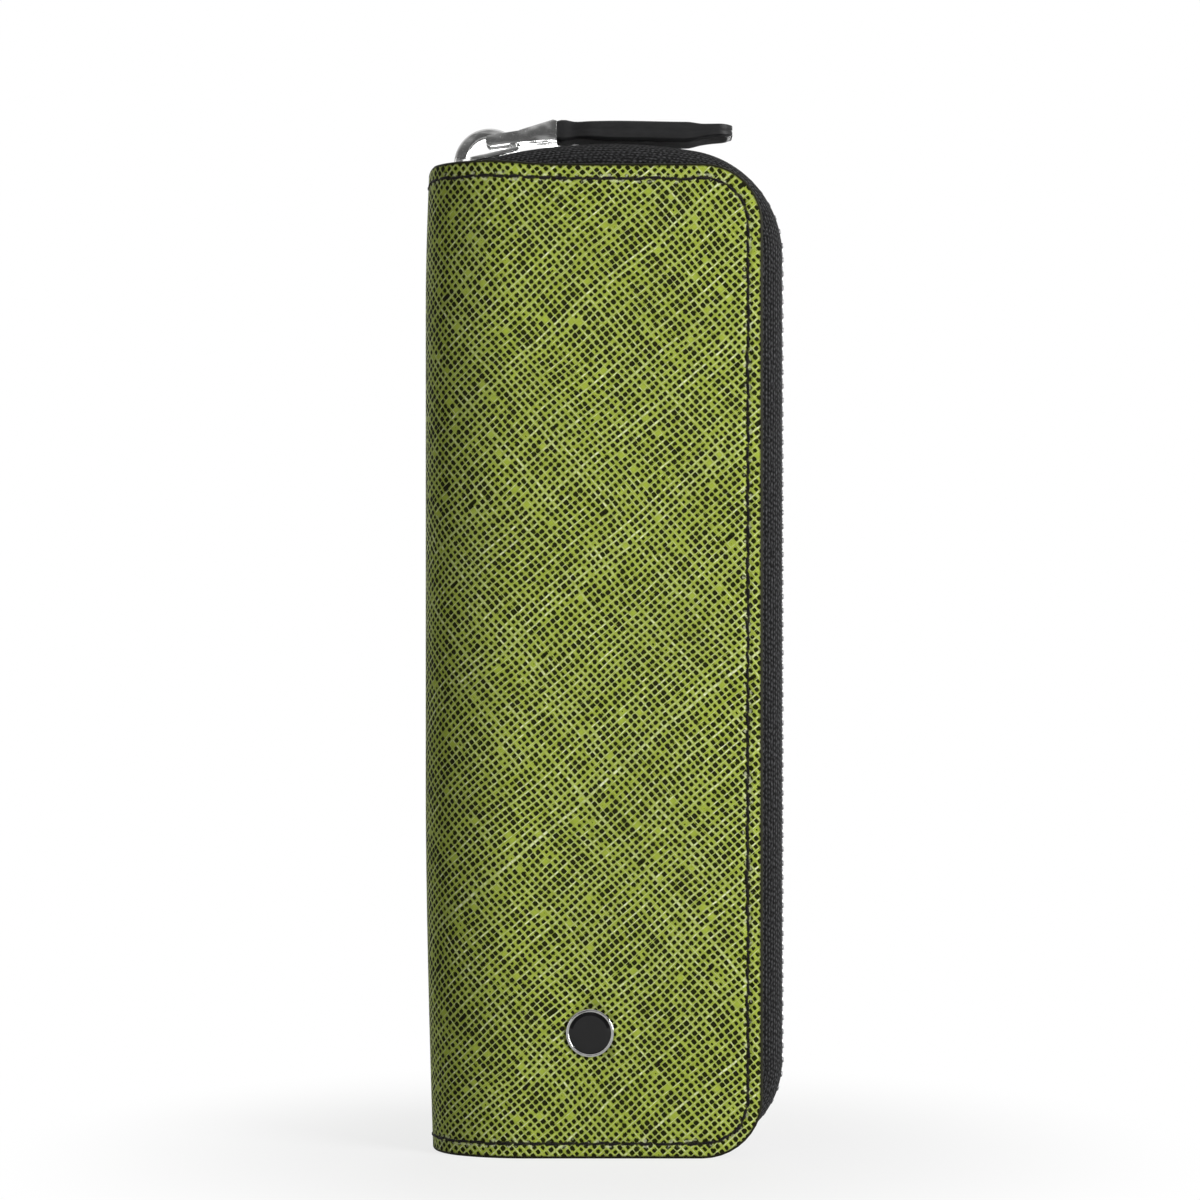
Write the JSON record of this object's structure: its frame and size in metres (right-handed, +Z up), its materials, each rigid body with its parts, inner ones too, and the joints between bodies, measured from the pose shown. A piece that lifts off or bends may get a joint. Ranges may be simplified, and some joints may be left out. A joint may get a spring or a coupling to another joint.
{
  "type": "fountain pen case",
  "caption": "Slim upright leather pen case with a rounded spine, a zip round three sides, a leather zip puller and loops inside that hold fountain pens.",
  "frame": {"origin": "middle of the case's footprint, at the bottom edges of the leather covers", "axes": "+Z up along the spine, the front cover faces -Y, +X points from the spine to the zip"},
  "size_m": [0.0624, 0.0245, 0.179],
  "materials": {
    "leather": "crosshatch grain, semi-gloss, black in the grain's pits",
    "black_leather": "smooth, semi-gloss",
    "board": "dyed fibre board with painted edges",
    "wadding": "thin felt",
    "lining": "fine woven, matte",
    "tape": "woven, ribbed along the zip",
    "elastic": "ribbed elastic webbing",
    "zip_metal": "polished",
    "emblem_black": "high gloss"
  },
  "bodies": {
    "back": {"back_cover": "leather", "back_board": "board", "back_pad": "wadding", "back_lining": "lining", "back_spine_lining": "lining", "back_tape": "tape", "back_top_teeth": "zip_metal", "back_side_teeth": "zip_metal", "back_zip_stops": "zip_metal", "loop_strip": "black_leather", "pen_loop_left": "elastic", "pen_loop_right": "elastic", "pen_sleeve": "black_leather"},
    "front": {"front_cover": "leather", "front_board": "board", "front_pad": "wadding", "front_lining": "lining", "front_spine_lining": "lining", "front_tape": "tape", "front_top_teeth": "zip_metal", "front_side_teeth": "zip_metal", "front_zip_stops": "zip_metal", "slip_pocket": "black_leather", "emblem_rim": "zip_metal", "emblem_disc": "emblem_black"},
    "flap": {"divider_flap": "black_leather"},
    "slider": {"slider_body": "zip_metal", "slider_bridge": "zip_metal"},
    "puller": {"puller_clasp": "zip_metal", "puller_tab": "black_leather"}
  },
  "joints": [
    {"name": "cover_hinge", "type": "hinge", "parent": "back", "child": "front", "pos_m": [-0.0312, 0, 0.085], "axis": [0, 0, -1], "range_deg": [0, 175]},
    {"name": "flap_hinge", "type": "hinge", "parent": "back", "child": "flap", "pos_m": [-0.0289, 0.0002, 0.085], "axis": [0, 0, -1], "range_deg": [0, 90]},
    {"name": "zip_slide", "type": "hinge", "parent": "back", "child": "slider", "pos_m": [0.00086, 0, 0.0842], "axis": [0, 1, 0], "range_deg": [0, 19], "deforming": ["front_top_teeth", "back_top_teeth"]},
    {"name": "puller_swing", "type": "hinge", "parent": "slider", "child": "puller", "pos_m": [-0.01967, 0, 0.1756], "axis": [0, -1, 0], "range_deg": [0, 130]}
  ],
  "couplings": [
    {"joint": "flap_hinge", "follows": "cover_hinge", "ratio": 0.5}
  ]
}
